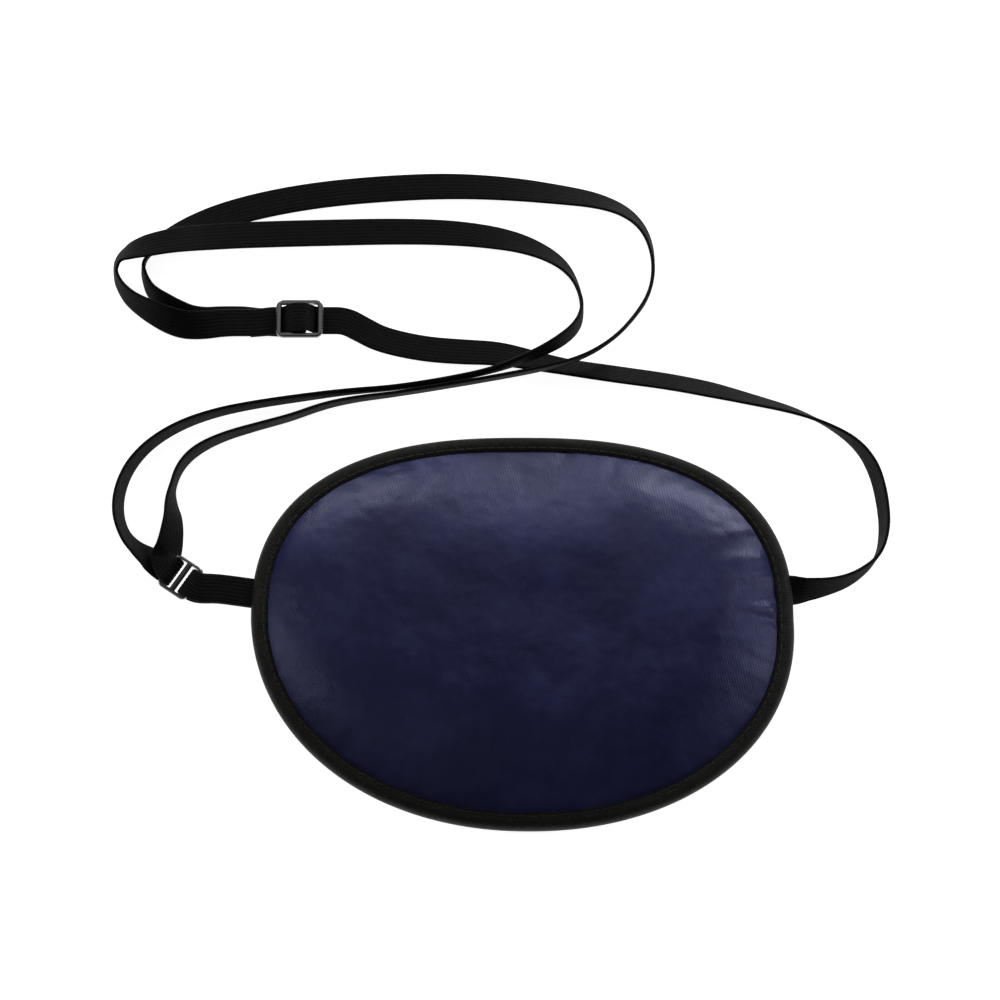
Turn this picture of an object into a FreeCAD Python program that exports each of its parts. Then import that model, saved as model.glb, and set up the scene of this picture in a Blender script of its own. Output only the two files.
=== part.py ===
"""Padded satin eye patch on one elastic strap, lying on a table with its back down.

Millimetres.  +Z is up, out of the front of the patch.  +X runs along the width of the patch
and +Y towards its top edge.  The origin is on the flat of the back, under the middle.
"""
import FreeCAD, Part
import math
import os

V = FreeCAD.Vector

# ---- the patch: its outline and the levels of its layers
HALF_WIDTH = 55.0
TOP_Y = 41.0
BOTTOM_Y = -41.0
WIDEST_Y = 2.4
UPPER_FULLNESS = 2.5          # superellipse exponents: the top is squarer than the bottom
LOWER_FULLNESS = 2.1
LOWER_LEAN = 1.4              # the bottom of the outline leans this far towards +X
OUTLINE_POINTS = 48

SEAM_Z = 2.8                  # middle of the sewn edge
CLOTH = 0.35                  # thickness of the satin and of the lining
LINING_SHEET = 0.3            # blackout interlining
WADDING_EDGE = 0.55           # wadding where the seam presses it flat
PLY_GAP = 0.05
TAPE = 0.45                   # thickness of the binding tape
BINDING_WIDTH = 3.4
BINDING_GAP = 0.15            # between the fold of the tape and the cut edges of the layers
FRONT_CROWN_Z = 10.6
DOME_SHARES = (0.0, 0.05, 0.13, 0.26, 0.45, 0.68)   # rings of the front, from its rim inwards
DOME_REACH = 0.72             # the front levels out at this share of the half width
DOME_POWER = 2.6              # how soon it levels out
FLAT_INSET = 13.0             # the back lies flat inside this inset
BELLY_SHARE = 0.25            # level of the back half way down its slope

THREAD = 0.3
THREAD_INSET = 2.6

# ---- the elastic strap
ELASTIC_WIDTH = 6.0
ELASTIC_THICK = 0.78
CORD_DIAMETER = 2.4           # round tube with nearly the section area of the elastic
ARC_SHARE = 0.45              # an arc of the tube takes this share of the shorter of its two runs
SEAM_DEPTH = 3.3              # length of elastic held in the seam
FIT = 0.02                    # clearance of the elastic in the slits of the seam

# ---- the link on the left: two bars and a middle bar, hanging in a short tab
LINK_BAR = 1.2
LINK_PITCH = 2.9
LINK_INNER_WIDTH = 6.3
LINK_RAIL = 0.7
LINK_ANGLE = 146.0            # from the tab's bar towards the strap's bar
LINK_PIVOT = (-67.0, 9.8)
TAB_ROOT = (-55.0, 8.1)
LINK_CORNER = 1.3
LINK_EDGE = 0.45              # rounding of its long edges
PIVOT_HOLE = 0.8
STRAP_HOLE = 0.72
FOLD_LENGTH = 3.0             # from the middle of a bar to where the folded plies lie flat
TAB_OVERLAP = 0.4             # the tab's plies start this far inside the end of its fold
LOWER_LEG = (2.5, 5.5)        # the strap's lower ply, measured out from the far bar
UPPER_LEG_START = 3.4
UPPER_LEG_LENGTH = 3.0
UPPER_LEG_ANGLE = 92.0
UPPER_LEG_SHIFT = 3.0         # along the bar, towards the side that the upper ply leaves on

ROOT_Y = 8.9                  # where the strap leaves the right edge
ROOT_LENGTH = 3.0

# ---- the slider: a three-bar slide
SLIDER_AT = (-46.0, 66.7)
SLIDER_LENGTH = 9.8
SLIDER_WIDTH = 8.1
SLIDER_BAR = 1.2
SLIDER_INNER_WIDTH = 6.4
SLIDER_THICK = 1.2
SLIDER_CORNER = 1.6
SLIDER_EDGE = 0.35
SLIDER_Z = 2.55               # underside of the frame
PLY_STEP = 0.81               # from one lying ply to the next, middle to middle
SLIDER_TAIL = 13.0            # how far the strap's folds reach to the left of the middle bar
SLIDER_LEAD = 7.5             # and to the right
PASS_CREST_X = 1.24           # the strap turns down here on each side of the middle bar
PASS_FOOT_X = 3.45            # and levels out here, clear of the outer bars
LOOP_RISE_X = (-2.5, -0.85)   # the sewn end climbs here from the table to the middle bar
LOOP_FALL_X = (-0.7, -2.95)   # and comes down here from over the bar
LOOP_SHORT = 1.0              # the sewn end stops this far short of its other ply
BAND_RADIUS = 0.5             # middle line of the elastic at a fold
TACK_X = -9.5
TACK_LENGTH = 0.56
TACK_WIDTH = 4.36

TOUCH = 0.02                  # edges nearer than this to a face lie on it

# ---- the free runs of the strap, from the slider outwards
RIGHT_RUN = [
    (-38.48, 66.7, 2.11), (-35.4, 66.7, 2.11), (-29.8, 64.9, 1.6), (-20.0, 62.3, 1.3),
    (-9.5, 60.8, 1.3), (2.0, 59.3, 1.3), (13.0, 57.9, 1.6), (24.5, 56.2, 2.2), (36.0, 54.2, 2.6),
    (47.5, 52.0, 3.0), (57.5, 48.9, 3.0), (65.5, 44.5, 3.0), (70.8, 39.0, 3.0),
    (73.5, 32.8, 3.0), (74.2, 26.2, 3.0), (73.0, 19.8, 3.0), (70.0, 14.3, 3.0),
    (65.6, 10.3, 2.9), (61.2, 8.9, 2.8), (58.02, 8.9, 2.8),
]
LOWER_LEAD = [
    (-59.02, 65.35, 2.11), (-62.6, 65.35, 2.11), (-67.8, 65.6, 2.4), (-72.8, 66.9, 3.0),
    (-76.5, 69.0, 3.0),
]
LOWER_LOOP = [
    (-76.5, 69.0, 3.0), (-80.7, 71.4, 3.0), (-83.8, 74.6, 3.0), (-85.4, 78.0, 3.2),
    (-84.9, 81.0, 3.8), (-82.7, 83.2, 4.6), (-78.9, 84.3, 5.6), (-72.0, 84.9, 5.6),
    (-62.5, 85.5, 4.4), (-52.0, 86.3, 3.0), (-40.0, 86.9, 2.2), (-27.0, 87.1, 2.0),
    (-15.5, 86.8, 2.2), (-6.0, 85.5, 2.8), (1.2, 83.2, 3.0), (6.9, 79.8, 3.0),
    (10.4, 75.0, 3.2), (11.8, 69.3, 4.0), (10.9, 64.8, 5.6), (7.5, 61.2, 6.8),
    (0.5, 58.2, 6.8), (-7.0, 56.0, 5.6), (-16.5, 54.3, 4.2), (-26.5, 52.8, 3.2),
    (-36.0, 51.5, 3.0), (-46.0, 50.3, 3.0), (-55.0, 48.9, 3.0), (-63.0, 46.8, 3.0),
    (-70.3, 43.8, 3.0), (-76.3, 39.9, 3.0), (-80.3, 35.2, 3.0), (-82.3, 30.2, 3.0),
    (-82.7, 25.3, 3.0), (-81.4, 20.9, 2.7), (-78.88, 17.81, 2.41), (-76.39, 16.13, 2.41),
]
UPPER_LEAD = [
    (-59.02, 68.05, 1.25), (-62.9, 68.05, 1.25), (-67.8, 68.4, 1.8), (-71.4, 69.8, 3.0),
    (-74.2, 72.3, 3.0),
]
UPPER_LOOP = [
    (-74.2, 72.3, 3.0), (-76.9, 74.7, 3.0), (-78.4, 78.2, 2.4), (-77.9, 82.4, 1.5),
    (-75.0, 86.2, 1.3), (-69.8, 89.3, 1.5), (-62.5, 91.8, 2.0), (-53.0, 94.3, 2.6),
    (-42.0, 96.4, 3.0), (-29.0, 97.4, 3.0), (-15.5, 97.5, 3.0), (-3.0, 96.8, 3.0),
    (8.5, 95.1, 3.0), (17.5, 92.2, 3.0), (23.8, 87.6, 3.0), (27.0, 81.9, 3.0),
    (27.8, 75.7, 3.0), (26.4, 69.8, 3.6), (23.2, 64.6, 5.2), (18.5, 60.3, 6.8),
    (12.0, 56.4, 6.8), (4.0, 53.6, 5.4), (-5.5, 52.0, 4.0), (-15.5, 50.7, 3.2),
    (-25.5, 49.3, 3.0), (-36.5, 47.6, 3.0), (-46.0, 45.8, 3.0), (-54.0, 43.8, 3.0),
    (-61.5, 41.3, 3.0), (-67.2, 38.4, 3.0), (-70.6, 34.8, 3.0), (-72.2, 30.4, 3.0),
    (-72.75, 26.9, 3.0), (-73.16, 23.45, 3.19), (-73.06, 20.45, 3.19),
]


# ---- levels worked out from the layers, from the middle of the seam outwards
INTERLINING_Z = (SEAM_Z - LINING_SHEET / 2, SEAM_Z + LINING_SHEET / 2)
FRONT_WADDING_Z = (INTERLINING_Z[1] + PLY_GAP, INTERLINING_Z[1] + PLY_GAP + WADDING_EDGE)
FRONT_COVER_Z = (FRONT_WADDING_Z[1] + PLY_GAP, FRONT_WADDING_Z[1] + PLY_GAP + CLOTH)
BACK_WADDING_Z = (INTERLINING_Z[0] - PLY_GAP - WADDING_EDGE, INTERLINING_Z[0] - PLY_GAP)
BACK_COVER_Z = (BACK_WADDING_Z[0] - PLY_GAP - CLOTH, BACK_WADDING_Z[0] - PLY_GAP)
SLOT_Z = (BACK_COVER_Z[0] - PLY_GAP, FRONT_COVER_Z[1] + PLY_GAP)
BINDING_Z = (SLOT_Z[0] - TAPE, SLOT_Z[1] + TAPE)
PLY_INSET = TAPE + BINDING_GAP


def outline(inset, z):
    """The closed outline of the patch at height z, moved inwards by inset."""
    points = []
    for i in range(OUTLINE_POINTS):
        angle = 2 * math.pi * i / OUTLINE_POINTS
        upper = math.sin(angle) >= 0
        power = 2.0 / (UPPER_FULLNESS if upper else LOWER_FULLNESS)
        height = (TOP_Y - WIDEST_Y if upper else WIDEST_Y - BOTTOM_Y) - inset
        across = math.copysign(abs(math.cos(angle)) ** power, math.cos(angle))
        along = math.copysign(abs(math.sin(angle)) ** power, math.sin(angle))
        lean = 0.0 if upper else LOWER_LEAN * math.sin(-along * math.pi / 2)
        points.append(V((HALF_WIDTH - inset) * across + lean, WIDEST_Y + height * along, z))
    curve = Part.BSplineCurve()
    curve.interpolate(Points=points, PeriodicFlag=True)
    return Part.Wire([curve.toShape()])


def slab(inset, low, high):
    """A flat sheet with the patch's outline."""
    return Part.Face(outline(inset, low)).extrude(V(0, 0, high - low))


def dome(inset, base, crown):
    """A crowned solid: steep beside the seam and nearly flat in the middle."""
    rings = []
    for share in DOME_SHARES:
        reach = (HALF_WIDTH * DOME_REACH - inset) * share
        height = (crown - base) * (1 - (1 - share) ** DOME_POWER)
        rings.append(outline(inset + reach, base + height))
    return Part.makeLoft(rings, True, False)


def belly(inset, base, floor):
    """The back's padding: it slopes from the seam down to the flat that rests on the table."""
    middle = (inset + FLAT_INSET) / 2
    rings = [
        outline(inset, base),
        outline(middle, floor + (base - floor) * BELLY_SHARE),
        outline(FLAT_INSET, floor),
    ]
    return Part.makeLoft(rings, True, True)


def box(x0, x1, y0, y1, z0, z1):
    return Part.makeBox(x1 - x0, y1 - y0, z1 - z0, V(x0, y0, z0))


def placed(shape, at, angle):
    """A copy of a shape made at the origin, turned about Z and moved to its place."""
    moved = shape.copy()
    turn = FreeCAD.Placement(V(at[0], at[1], 0), FreeCAD.Rotation(V(0, 0, 1), angle))
    moved.Placement = turn.multiply(shape.Placement)
    return moved


def rounded_path(points, radii=None, limit=None):
    """Straight runs joined by tangent arcs, each as large as its two runs allow."""
    points = [V(*p) for p in points]
    edges = []
    last = points[0]
    for before, corner, after in zip(points, points[1:], points[2:]):
        back = (before - corner).normalize()
        ahead = (after - corner).normalize()
        turn = math.pi - back.getAngle(ahead)
        reach = ARC_SHARE * min((before - corner).Length, (after - corner).Length)
        if limit:
            reach = min(reach, limit * math.tan(turn / 2))
        radius = reach / math.tan(turn / 2)
        start = corner + back * reach
        end = corner + ahead * reach
        middle = (back + ahead).normalize()
        centre = corner + middle * math.hypot(radius, reach)
        edges.append(Part.LineSegment(last, start).toShape())
        edges.append(Part.Arc(start, centre - middle * radius, end).toShape())
        last = end
        if radii is not None:
            radii.append(radius)
    edges.append(Part.LineSegment(last, points[-1]).toShape())
    return Part.Wire(edges)


def tube(points, name):
    """A run of the strap, as a plain round tube."""
    radii = []
    path = rounded_path(points, radii=radii)
    heading = V(*points[1]) - V(*points[0])
    ring = Part.Wire([Part.makeCircle(CORD_DIAMETER / 2, V(*points[0]), heading)])
    solid = path.makePipeShell([ring], True, False)
    expected = math.pi * CORD_DIAMETER ** 2 / 4 * path.Length
    print(f"{name}: {path.Length:.1f} mm long, {solid.Volume / expected:.3f} of section x length,"
          f" radii {min(radii):.1f} to {max(radii):.1f}")
    return solid


def band(points, width=ELASTIC_WIDTH):
    """A flat elastic whose middle line is given in x and z, as wide as the elastic along Y."""
    line = [(x, 0, z) for x, z in points]
    path = rounded_path(line, limit=BAND_RADIUS)
    start = V(*line[0])
    heading = (V(*line[1]) - start).normalize()
    side = V(0, width / 2, 0)
    up = V(0, 1, 0).cross(heading) * (ELASTIC_THICK / 2)
    corners = [start + side + up, start - side + up, start - side - up, start + side - up]
    profile = Part.Wire(Part.makePolygon(corners + corners[:1]))
    return path.makePipeShell([profile], True, False)


def folded_end(hole):
    """Elastic folded round a bar at the origin, its two plies pressed together towards +X."""
    outer = hole + ELASTIC_THICK
    reach = outer * 0.35
    side = math.sqrt(outer ** 2 - reach ** 2)
    corners = [
        V(reach, 0, SEAM_Z + side), V(FOLD_LENGTH, 0, SEAM_Z + ELASTIC_THICK),
        V(FOLD_LENGTH, 0, SEAM_Z - ELASTIC_THICK), V(reach, 0, SEAM_Z - side),
    ]
    wedge = Part.Face(Part.makePolygon(corners + corners[:1])).extrude(V(0, ELASTIC_WIDTH, 0))
    start = V(0, 0, SEAM_Z)
    round_part = Part.makeCylinder(outer, ELASTIC_WIDTH, start, V(0, 1, 0))
    bore = Part.makeCylinder(hole, ELASTIC_WIDTH, start, V(0, 1, 0))
    fold = wedge.fuse(round_part).cut(bore).removeSplitter()
    fold.translate(V(0, -ELASTIC_WIDTH / 2, 0))
    return fold


def bars(length, width, inner_width, bar, pitch, low, high, corner, rounding):
    """A three-bar frame lying flat, its middle bar on the Y axis, with rounded rim and bars."""
    frame = box(-length / 2, length / 2, -width / 2, width / 2, low, high)
    upright = [e for e in frame.Edges if abs(e.tangentAt(e.FirstParameter).z) > 0.9]
    frame = frame.makeFillet(corner, upright)
    half = (pitch - bar) / 2
    for side in (-1, 1):
        middle = side * pitch / 2
        frame = frame.cut(box(middle - half, middle + half, -inner_width / 2, inner_width / 2,
                              low - 1, high + 1))
    flat = [e for face in frame.Faces if abs(face.normalAt(0, 0).z) > 0.9 for e in face.Edges]
    rim = [e for e in flat if abs(e.CenterOfMass.x) > length / 2 - TOUCH
           or abs(e.CenterOfMass.y) > width / 2 - TOUCH]
    inner = [e for e in flat if abs(e.tangentAt(e.FirstParameter).y) > 0.9
             and abs(e.CenterOfMass.x) < length / 2 - bar + TOUCH]
    return frame.makeFillet(rounding, rim + inner)


# ---- where the two ends of the strap's tab and of the strap lie in the seam
TAB_ANGLE = math.degrees(math.atan2(LINK_PIVOT[1] - TAB_ROOT[1], LINK_PIVOT[0] - TAB_ROOT[0]))
TAB_LENGTH = math.hypot(LINK_PIVOT[0] - TAB_ROOT[0], LINK_PIVOT[1] - TAB_ROOT[1])


def tab_plies(grow=0.0):
    half = ELASTIC_WIDTH / 2 + grow
    plies = box(-SEAM_DEPTH - grow, TAB_LENGTH - FOLD_LENGTH + TAB_OVERLAP, -half, half,
                SEAM_Z - ELASTIC_THICK - grow, SEAM_Z + ELASTIC_THICK + grow)
    return placed(plies, TAB_ROOT, TAB_ANGLE)


def root_ply(grow=0.0):
    half = ELASTIC_WIDTH / 2 + grow
    return box(HALF_WIDTH - SEAM_DEPTH - grow, HALF_WIDTH + ROOT_LENGTH, ROOT_Y - half, ROOT_Y + half,
               SEAM_Z - ELASTIC_THICK / 2 - grow, SEAM_Z + ELASTIC_THICK / 2 + grow)


def patch_layers():
    """The sewn pad, with slits in its seam for the two ends of the elastic."""
    sleeve = BINDING_WIDTH + 0.25
    cover = slab(PLY_INSET, *FRONT_COVER_Z)
    cover = cover.fuse(dome(sleeve, FRONT_COVER_Z[0], FRONT_CROWN_Z))
    cover = cover.cut(dome(sleeve + CLOTH, FRONT_COVER_Z[0] - 0.01, FRONT_CROWN_Z - CLOTH))
    filling = slab(PLY_INSET, *FRONT_WADDING_Z)
    filling = filling.fuse(dome(sleeve + CLOTH + PLY_GAP, FRONT_WADDING_Z[1] - 0.01,
                                FRONT_CROWN_Z - CLOTH - PLY_GAP))
    back_filling = slab(PLY_INSET, *BACK_WADDING_Z)
    back_filling = back_filling.fuse(belly(sleeve + CLOTH + PLY_GAP, BACK_WADDING_Z[0] + 0.01,
                                           CLOTH + PLY_GAP))
    back = slab(PLY_INSET, *BACK_COVER_Z)
    back = back.fuse(belly(sleeve, BACK_COVER_Z[1], 0.0))
    back = back.cut(belly(sleeve + CLOTH, BACK_COVER_Z[1] + 0.01, CLOTH))
    return {
        "front_cover": cover,
        "front_wadding": filling,
        "blackout_interlining": slab(PLY_INSET, *INTERLINING_Z),
        "back_wadding": back_filling,
        "back_cover": back,
    }


def edge_binding():
    """Tape folded over the edge of all the layers."""
    tape = slab(0, *BINDING_Z)
    tape = tape.cut(slab(BINDING_WIDTH, BINDING_Z[0] - 1, BINDING_Z[1] + 1))
    return tape.cut(slab(TAPE, *SLOT_Z))


def seam_thread(low):
    """One line of sewing on the binding, as a plain closed ring."""
    return slab(THREAD_INSET, low, low + THREAD).cut(slab(THREAD_INSET + THREAD, low - 1, low + 1))


def link_parts():
    """The link, the tab that holds it and the strap's fold on its far bar."""
    length = 2 * LINK_PITCH + LINK_BAR
    width = LINK_INNER_WIDTH + 2 * LINK_RAIL
    frame = bars(length, width, LINK_INNER_WIDTH, LINK_BAR, LINK_PITCH,
                 SEAM_Z - LINK_BAR / 2, SEAM_Z + LINK_BAR / 2, LINK_CORNER, LINK_EDGE)
    frame.translate(V(LINK_PITCH, 0, 0))

    tab = placed(folded_end(PIVOT_HOLE), (0, 0), 180)
    tab = placed(tab, LINK_PIVOT, LINK_ANGLE).fuse(tab_plies()).removeSplitter()

    fold = folded_end(STRAP_HOLE)
    lower_leg = box(*LOWER_LEG, -ELASTIC_WIDTH / 2, ELASTIC_WIDTH / 2, SEAM_Z - ELASTIC_THICK, SEAM_Z)
    upper_leg = box(0, UPPER_LEG_LENGTH, -ELASTIC_WIDTH / 2, ELASTIC_WIDTH / 2,
                    SEAM_Z, SEAM_Z + ELASTIC_THICK)
    upper_leg = placed(upper_leg, (UPPER_LEG_START, -UPPER_LEG_SHIFT), UPPER_LEG_ANGLE - LINK_ANGLE)
    fold = fold.fuse([lower_leg, upper_leg]).removeSplitter()
    fold.translate(V(2 * LINK_PITCH, 0, 0))
    return {
        "link_frame": placed(frame, LINK_PIVOT, LINK_ANGLE),
        "link_tab": tab,
        "strap_link_fold": placed(fold, LINK_PIVOT, LINK_ANGLE),
    }


def slider_parts():
    """The slide, the strap's pass through it and the strap's sewn end on its middle bar."""
    pitch = (SLIDER_LENGTH - SLIDER_BAR) / 2
    top = SLIDER_Z + SLIDER_THICK
    frame = bars(SLIDER_LENGTH, SLIDER_WIDTH, SLIDER_INNER_WIDTH, SLIDER_BAR, pitch, SLIDER_Z, top,
                 SLIDER_CORNER, SLIDER_EDGE)
    under = SLIDER_Z - PLY_GAP - ELASTIC_THICK / 2          # just under the bars
    tail = under - PLY_STEP
    floor = tail - PLY_STEP - PLY_GAP
    over = top + PLY_GAP + ELASTIC_THICK / 2                # over the middle bar
    crest = over + ELASTIC_THICK + PLY_GAP                  # over the sewn loop
    side = SLIDER_BAR / 2 + PLY_GAP + ELASTIC_THICK / 2
    strap_pass = band([(SLIDER_LEAD, under), (PASS_FOOT_X, under), (PASS_CREST_X, crest),
                       (-PASS_CREST_X, crest), (-PASS_FOOT_X, under), (-SLIDER_TAIL, under)])
    end_loop = band([(-SLIDER_TAIL, floor), (LOOP_RISE_X[0], floor), (LOOP_RISE_X[1], under),
                     (side, under), (side, over), (LOOP_FALL_X[0], over), (LOOP_FALL_X[1], tail),
                     (LOOP_SHORT - SLIDER_TAIL, tail)])
    tack = box(TACK_X - TACK_LENGTH / 2, TACK_X + TACK_LENGTH / 2, -TACK_WIDTH / 2, TACK_WIDTH / 2,
               floor - ELASTIC_THICK / 2, tail + ELASTIC_THICK / 2)
    made = {
        "slider_frame": frame,
        "strap_slider_pass": strap_pass,
        "strap_end_loop": end_loop.cut(tack),
        "strap_end_tack": tack,
    }
    return {name: placed(shape, SLIDER_AT, 0) for name, shape in made.items()}


def all_parts():
    slits = [tab_plies(FIT), root_ply(FIT)]
    parts = {name: shape.cut(slits) for name, shape in patch_layers().items()}
    parts["edge_binding"] = edge_binding().cut(slits)
    parts["seam_thread_front"] = seam_thread(BINDING_Z[1])
    parts["seam_thread_back"] = seam_thread(BINDING_Z[0] - THREAD)
    parts["strap_root_end"] = root_ply()
    parts.update(link_parts())
    parts.update(slider_parts())
    parts["strap_right_run"] = tube(RIGHT_RUN, "strap_right_run")
    parts["strap_lower_lead"] = tube(LOWER_LEAD, "strap_lower_lead")
    parts["strap_lower_loop"] = tube(LOWER_LOOP, "strap_lower_loop")
    parts["strap_upper_lead"] = tube(UPPER_LEAD, "strap_upper_lead")
    parts["strap_upper_loop"] = tube(UPPER_LOOP, "strap_upper_loop")
    return parts


os.makedirs("parts", exist_ok=True)
for name, shape in all_parts().items():
    solids = shape.Solids
    print(f"{name}: {len(solids)} solid, valid {shape.isValid()}, {shape.Volume:.1f} mm3")
    shape.exportStep(f"parts/{name}.step")
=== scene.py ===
"""Padded satin eye patch on one elastic strap, laid out on a pale table.

Metres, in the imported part's frame: +Z out of the satin front, +X along the width of the patch
and +Y towards its top edge.  The origin is on the flat of the back, under the middle.
"""
import bmesh
import bpy
import math
import numpy as np
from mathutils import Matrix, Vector, noise


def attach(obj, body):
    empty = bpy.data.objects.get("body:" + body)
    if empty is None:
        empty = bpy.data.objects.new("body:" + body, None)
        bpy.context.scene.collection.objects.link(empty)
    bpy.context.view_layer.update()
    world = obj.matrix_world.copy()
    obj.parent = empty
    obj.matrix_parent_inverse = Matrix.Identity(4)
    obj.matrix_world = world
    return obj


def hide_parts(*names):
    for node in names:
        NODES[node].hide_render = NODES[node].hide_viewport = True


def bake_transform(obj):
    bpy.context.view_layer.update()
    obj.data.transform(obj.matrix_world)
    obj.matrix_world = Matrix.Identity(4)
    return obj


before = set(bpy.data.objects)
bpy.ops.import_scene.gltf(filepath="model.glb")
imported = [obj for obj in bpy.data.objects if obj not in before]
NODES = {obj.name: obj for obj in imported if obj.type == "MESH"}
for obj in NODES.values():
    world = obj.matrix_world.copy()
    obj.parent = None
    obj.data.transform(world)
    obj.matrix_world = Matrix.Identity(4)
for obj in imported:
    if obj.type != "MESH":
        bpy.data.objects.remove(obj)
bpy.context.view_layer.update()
MM = 0.001
UP = np.array([0.0, 0.0, 1.0])

# ---- the patch: its outline and the levels of its layers
HALF_WIDTH = 0.055
TOP_Y = 0.041
BOTTOM_Y = -0.041
WIDEST_Y = 0.0024
UPPER_FULLNESS = 2.5
LOWER_FULLNESS = 2.1
LOWER_LEAN = 0.0014
SEAM_Z = 0.0028
COVER_EDGE_Z = 0.0040         # satin where the binding holds it
CROWN_Z = 0.0107
DOME_REACH = 0.0396           # inset at which the front has levelled out
DOME_POWER = 4.0
COVER_INSET = 0.0020          # the satin's edge, under the binding
DOME_INSET = 0.0034           # the inner edge of the binding
SWELL_SCALE = 10.0            # the cloth is run on a copy this many times as large
SWELL_FRAMES = 20
SWELL_CAP = 0.0016            # the most that the satin may swell when the cloth is run
FOLDS_KEPT = 0.15             # the share of that swelling's narrow folds that stays
DEEPEST_FOLD = 0.0003         # of the gathers, so that the wadding under them stays hidden
WADDING_BELOW = 0.0006        # how much deeper the wadding sits under the folds of the satin
FLAT_INSET = 0.013            # the back lies flat inside this inset
LINING_EDGE_Z = 0.0016
STITCH_INSET = 0.0026
STITCH_PITCH = 0.0022
STITCH_LENGTH = 0.0016
STITCH_STEPS = 40             # points of the outline from one stitch to the next
STITCH_Z = 0.00462            # of the thread on the front
THREAD_RADIUS = 0.00016
AROUND = 288                  # columns of the pad's meshes
BINDING_STEPS = 1152          # sections of the binding round the outline
BROAD_FOLDS = [(0.00028, 1.3, 45.0), (0.00014, 5.9, 110.0)]   # height, seed and scale of each
CENTRE = np.array([0.0, WIDEST_Y])

# ---- the elastic
ELASTIC_WIDTH = 0.006
ELASTIC_THICK = 0.00078
RIBS = 8
RIB_DEPTH = 0.00009
ROUTE_STEPS = 12              # samples from one point of a route to the next

# ---- the camera, above and in front
LENS = 142.1
TARGET = Vector((-0.0045, 0.0286, 0.0))
TILT = math.radians(74.0)     # above the table
DISTANCE = 0.81

# ---- link and slider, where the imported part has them
LINK_PIVOT = np.array([-0.0670, 0.0098])
LINK_ANGLE = math.radians(146.0)
FAR_BAR = 0.0058              # from the tab's bar to the strap's bar
SLIDER_AT = np.array([-0.0460, 0.0667])
BAR = (math.sin(LINK_ANGLE), -math.cos(LINK_ANGLE), 0.0)
TAB_SIDE = (0.14, 0.99, 0.0)  # across the tab, where the seam holds it
BEND = 0.00125                # a fold's control points stand this far above and below its bar
BULGE = 0.0018                # and this far out in front of it

# ---- the free runs of the strap: x, y, z and lean in degrees.  Lean 0 lies flat and 90 stands
# on edge; a positive lean lifts the left edge, looking along the run.
RIGHT_RUN = [
    (-0.03848, 0.0667, 0.00211, 0), (-0.0366, 0.0667, 0.00211, -2), (-0.0332, 0.0650, 0.0015, -6),
    (-0.0290, 0.0628, 0.0011, -8), (-0.0205, 0.0609, 0.0009, -10), (-0.0125, 0.0602, 0.0011, -11),
    (-0.0050, 0.0598, 0.0014, -16), (0.0018, 0.0582, 0.0019, -30), (0.0085, 0.0566, 0.0023, -40),
    (0.0200, 0.0548, 0.0024, -39), (0.0300, 0.0534, 0.0024, -40), (0.0390, 0.0516, 0.0024, -42),
    (0.0480, 0.0492, 0.0026, -54), (0.0560, 0.0470, 0.0028, -64), (0.0628, 0.0440, 0.0029, -77),
    (0.0688, 0.0399, 0.0030, -92), (0.0722, 0.0346, 0.0030, -104), (0.0737, 0.0280, 0.0030, -106),
    (0.0741, 0.0214, 0.0030, -104), (0.0726, 0.0155, 0.0030, -96), (0.0678, 0.0114, 0.0029, -84),
    (0.0625, 0.0094, 0.0029, -70), (0.05802, 0.0089, 0.0028, -52),
]
LOWER_LEAD = [
    (-0.05902, 0.06625, 0.00211, 0), (-0.0620, 0.06625, 0.00211, -3), (-0.0660, 0.0657, 0.0020, -10),
    (-0.0715, 0.0658, 0.0023, -30), (-0.0760, 0.0672, 0.0027, -52),
]
LOWER_LOOP = [
    (-0.0760, 0.0672, 0.0027, -52), (-0.0803, 0.0702, 0.0030, -66), (-0.0834, 0.0737, 0.0032, -80),
    (-0.0845, 0.0768, 0.0036, -84), (-0.0838, 0.0796, 0.0046, -66), (-0.0812, 0.0808, 0.0058, -38),
    (-0.0780, 0.0815, 0.0066, -22), (-0.0740, 0.0824, 0.0067, -14), (-0.0700, 0.0834, 0.0056, -8),
    (-0.0655, 0.0844, 0.0038, -5), (-0.0600, 0.0853, 0.0024, -4), (-0.0500, 0.0861, 0.0012, -3),
    (-0.0400, 0.0865, 0.0008, -3), (-0.0270, 0.0868, 0.0008, -4), (-0.0155, 0.0865, 0.0010, -8),
    (-0.0060, 0.0853, 0.0014, -18), (0.0012, 0.0833, 0.0021, -34), (0.0076, 0.0798, 0.0027, -52),
    (0.0112, 0.0750, 0.0032, -76), (0.0127, 0.0693, 0.0038, -90), (0.0118, 0.0648, 0.0052, -84),
    (0.0082, 0.0608, 0.0067, -82), (0.0015, 0.0572, 0.0070, -92), (-0.0065, 0.0544, 0.0061, -99),
    (-0.0165, 0.0529, 0.0045, -101), (-0.0265, 0.0517, 0.0033, -101), (-0.0360, 0.0510, 0.0030, -99),
    (-0.0460, 0.0496, 0.0030, -96), (-0.0550, 0.0482, 0.0030, -95), (-0.0630, 0.0465, 0.0030, -93),
    (-0.0703, 0.0438, 0.0030, -90), (-0.0763, 0.0399, 0.0030, -87), (-0.0803, 0.0352, 0.0030, -82),
    (-0.0823, 0.0302, 0.0030, -78), (-0.0827, 0.0253, 0.0030, -74), (-0.0814, 0.0209, 0.0029, -70),
    (-0.07888, 0.01781, 0.0027, -56), (-0.07639, 0.01613, 0.00241, -38),
]
UPPER_LEAD = [
    (-0.05902, 0.06715, 0.00125, 0), (-0.0620, 0.06715, 0.00125, -3), (-0.0665, 0.0667, 0.0014, -12),
    (-0.0705, 0.0675, 0.0020, -32), (-0.0738, 0.0698, 0.0026, -55),
]
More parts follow.
